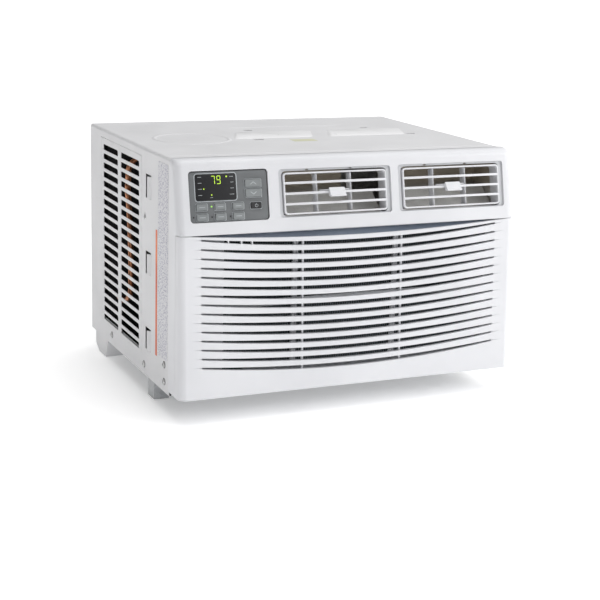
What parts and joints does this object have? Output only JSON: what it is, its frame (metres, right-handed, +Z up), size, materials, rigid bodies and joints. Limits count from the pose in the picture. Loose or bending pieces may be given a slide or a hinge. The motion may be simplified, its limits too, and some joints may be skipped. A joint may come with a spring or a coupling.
{
  "type": "window air conditioner",
  "caption": "Window air conditioner: slotted steel cabinet, white front with tilting intake grille, two louvred outlets, display and keys, coils, compressor and fans inside.",
  "frame": {"origin": "on the floor plane under the feet, at the middle of the unit's width and depth", "axes": "+X to the unit's right as seen from the room, +Y from the room side to the outdoor side, +Z up"},
  "size_m": [0.475, 0.3964, 0.3284],
  "materials": {
    "cabinet_paint": "satin powder coat, light grey-white",
    "front_plastic": "semi-gloss white ABS",
    "galvanised": "galvanised sheet with a faint spangle",
    "panel_grey": "mid grey moulded plastic",
    "display_lens": "dark smoked lens with lit yellow-green digits",
    "circuit_board": "green circuit board",
    "filter_plastic": "light grey plastic frame",
    "filter_net": "fine woven nylon net",
    "duct_foam": "moulded polystyrene foam",
    "black_plastic": "black moulded plastic",
    "steel": "ground steel shaft",
    "motor_steel": "grey painted motor shell",
    "coated_fins": "dark blue-green coated fins",
    "fin_aluminium": "bare aluminium fins",
    "copper": "bright drawn copper tube",
    "compressor_black": "black enamel on pressed steel",
    "capacitor_aluminium": "plain aluminium can",
    "rubber": "black rubber",
    "recess_slate": "blue-grey plastic floor of the finger recess",
    "display_light": "lit yellow-green display segments and lamps",
    "printed_mark": "printed stripe, marks and stickers"
  },
  "bodies": {
    "root": {"cabinet_wrapper": "cabinet_paint", "base_pan": "galvanised", "rear_foot_left": "cabinet_paint", "rear_foot_right": "cabinet_paint", "front_foot_left": "galvanised", "front_foot_right": "galvanised", "rear_guard": "cabinet_paint", "fascia": "front_plastic", "control_panel": "panel_grey", "display_window": "display_lens", "control_board": "circuit_board", "discharge_duct": "duct_foam", "blower_scroll": "duct_foam", "fan_motor": "motor_steel", "motor_bracket": "galvanised", "condenser_shroud": "black_plastic", "bulkhead": "galvanised", "evaporator_fins": "coated_fins", "condenser_fins": "fin_aluminium", "evaporator_bends_left": "copper", "evaporator_bends_right": "copper", "condenser_bends_left": "copper", "condenser_bends_right": "copper", "drip_tray": "duct_foam", "compressor": "compressor_black", "terminal_cover": "black_plastic", "accumulator": "compressor_black", "discharge_pipe": "copper", "suction_pipe": "copper", "capillary_tube": "copper", "filter_drier": "copper", "control_box": "galvanised", "run_capacitor": "capacitor_aluminium", "cord_gland": "rubber", "compressor_grommet_a": "rubber", "compressor_grommet_b": "rubber", "compressor_grommet_c": "rubber"},
    "grille": {"intake_grille": "front_plastic"},
    "air_filter": {"filter_frame": "filter_plastic", "filter_mesh": "filter_net"},
    "fan_rotor": {"motor_shaft": "steel", "blower_wheel": "black_plastic", "condenser_fan": "black_plastic"},
    "louver_left": {"louver_frame_left": "front_plastic"},
    "thumb_tab_left": {"louver_tab_left": "front_plastic"},
    "vane_left_a": {"vane_left_outlet_a": "front_plastic"},
    "vane_left_b": {"vane_left_outlet_b": "front_plastic"},
    "louver_right": {"louver_frame_right": "front_plastic"},
    "thumb_tab_right": {"louver_tab_right": "front_plastic"},
    "vane_right_a": {"vane_right_outlet_a": "front_plastic"},
    "vane_right_b": {"vane_right_outlet_b": "front_plastic"},
    "button_up": {"button_up": "panel_grey"},
    "button_down": {"button_down": "panel_grey"},
    "button_power": {"button_power": "black_plastic"},
    "button_mode": {"button_mode": "panel_grey"},
    "button_fan_speed": {"button_fan_speed": "panel_grey"},
    "button_energy_saver": {"button_energy_saver": "panel_grey"},
    "button_timer": {"button_timer": "panel_grey"},
    "button_sleep": {"button_sleep": "panel_grey"},
    "button_filter_reset": {"button_filter_reset": "panel_grey"}
  },
  "joints": [
    {"name": "grille_tilt", "type": "hinge", "parent": "root", "child": "grille", "pos_m": [0, -0.17781, 0.0353], "axis": [1, 0, 0], "range_deg": [0, 40]},
    {"name": "filter_lift", "type": "slide", "parent": "grille", "child": "air_filter", "axis": [0, 0, 1], "range_m": [0, 0.008]},
    {"name": "fan_spin", "type": "hinge", "parent": "root", "child": "fan_rotor", "pos_m": [0.06, -0.00281, 0.147], "axis": [0, 1, 0], "continuous": true},
    {"name": "louver_tilt_left", "type": "hinge", "parent": "root", "child": "louver_left", "pos_m": [-0.0233, -0.1685, 0.28131], "axis": [1, 0, 0], "range_deg": [-20, 20]},
    {"name": "tab_slide_left", "type": "slide", "parent": "louver_left", "child": "thumb_tab_left", "axis": [1, 0, 0], "range_m": [-0.003, 0.003]},
    {"name": "vane_turn_left_a", "type": "hinge", "parent": "louver_left", "child": "vane_left_a", "pos_m": [-0.047, -0.16606, 0.28079], "axis": [0, 0.2083, 0.9781], "range_deg": [-30, 30]},
    {"name": "vane_turn_left_b", "type": "hinge", "parent": "louver_left", "child": "vane_left_b", "pos_m": [0.0004, -0.16606, 0.28079], "axis": [0, 0.2083, 0.9781], "range_deg": [-30, 30]},
    {"name": "louver_tilt_right", "type": "hinge", "parent": "root", "child": "louver_right", "pos_m": [0.14295, -0.1685, 0.28131], "axis": [1, 0, 0], "range_deg": [-20, 20]},
    {"name": "tab_slide_right", "type": "slide", "parent": "louver_right", "child": "thumb_tab_right", "axis": [1, 0, 0], "range_m": [-0.003, 0.003]},
    {"name": "vane_turn_right_a", "type": "hinge", "parent": "louver_right", "child": "vane_right_a", "pos_m": [0.11925, -0.16606, 0.28079], "axis": [0, 0.2083, 0.9781], "range_deg": [-30, 30]},
    {"name": "vane_turn_right_b", "type": "hinge", "parent": "louver_right", "child": "vane_right_b", "pos_m": [0.16665, -0.16606, 0.28079], "axis": [0, 0.2083, 0.9781], "range_deg": [-30, 30]},
    {"name": "button_up_press", "type": "slide", "parent": "root", "child": "button_up", "axis": [0, 0.9781, -0.2083], "range_m": [0, 0.001], "stiffness_N_per_m": 500},
    {"name": "button_down_press", "type": "slide", "parent": "root", "child": "button_down", "axis": [0, 0.9781, -0.2083], "range_m": [0, 0.001], "stiffness_N_per_m": 500},
    {"name": "button_power_press", "type": "slide", "parent": "root", "child": "button_power", "axis": [0, 0.9781, -0.2083], "range_m": [0, 0.001], "stiffness_N_per_m": 500},
    {"name": "button_mode_press", "type": "slide", "parent": "root", "child": "button_mode", "axis": [0, 0.9781, -0.2083], "range_m": [0, 0.001], "stiffness_N_per_m": 500},
    {"name": "button_fan_speed_press", "type": "slide", "parent": "root", "child": "button_fan_speed", "axis": [0, 0.9781, -0.2083], "range_m": [0, 0.001], "stiffness_N_per_m": 500},
    {"name": "button_energy_saver_press", "type": "slide", "parent": "root", "child": "button_energy_saver", "axis": [0, 0.9781, -0.2083], "range_m": [0, 0.001], "stiffness_N_per_m": 500},
    {"name": "button_timer_press", "type": "slide", "parent": "root", "child": "button_timer", "axis": [0, 0.9781, -0.2083], "range_m": [0, 0.001], "stiffness_N_per_m": 500},
    {"name": "button_sleep_press", "type": "slide", "parent": "root", "child": "button_sleep", "axis": [0, 0.9781, -0.2083], "range_m": [0, 0.001], "stiffness_N_per_m": 500},
    {"name": "button_filter_reset_press", "type": "slide", "parent": "root", "child": "button_filter_reset", "axis": [0, 0.9781, -0.2083], "range_m": [0, 0.001], "stiffness_N_per_m": 500}
  ],
  "couplings": [
    {"joint": "vane_turn_left_a", "follows": "tab_slide_left", "rad_per_m": 174},
    {"joint": "vane_turn_left_b", "follows": "tab_slide_left", "rad_per_m": 174},
    {"joint": "vane_turn_right_a", "follows": "tab_slide_right", "rad_per_m": 174},
    {"joint": "vane_turn_right_b", "follows": "tab_slide_right", "rad_per_m": 174}
  ]
}
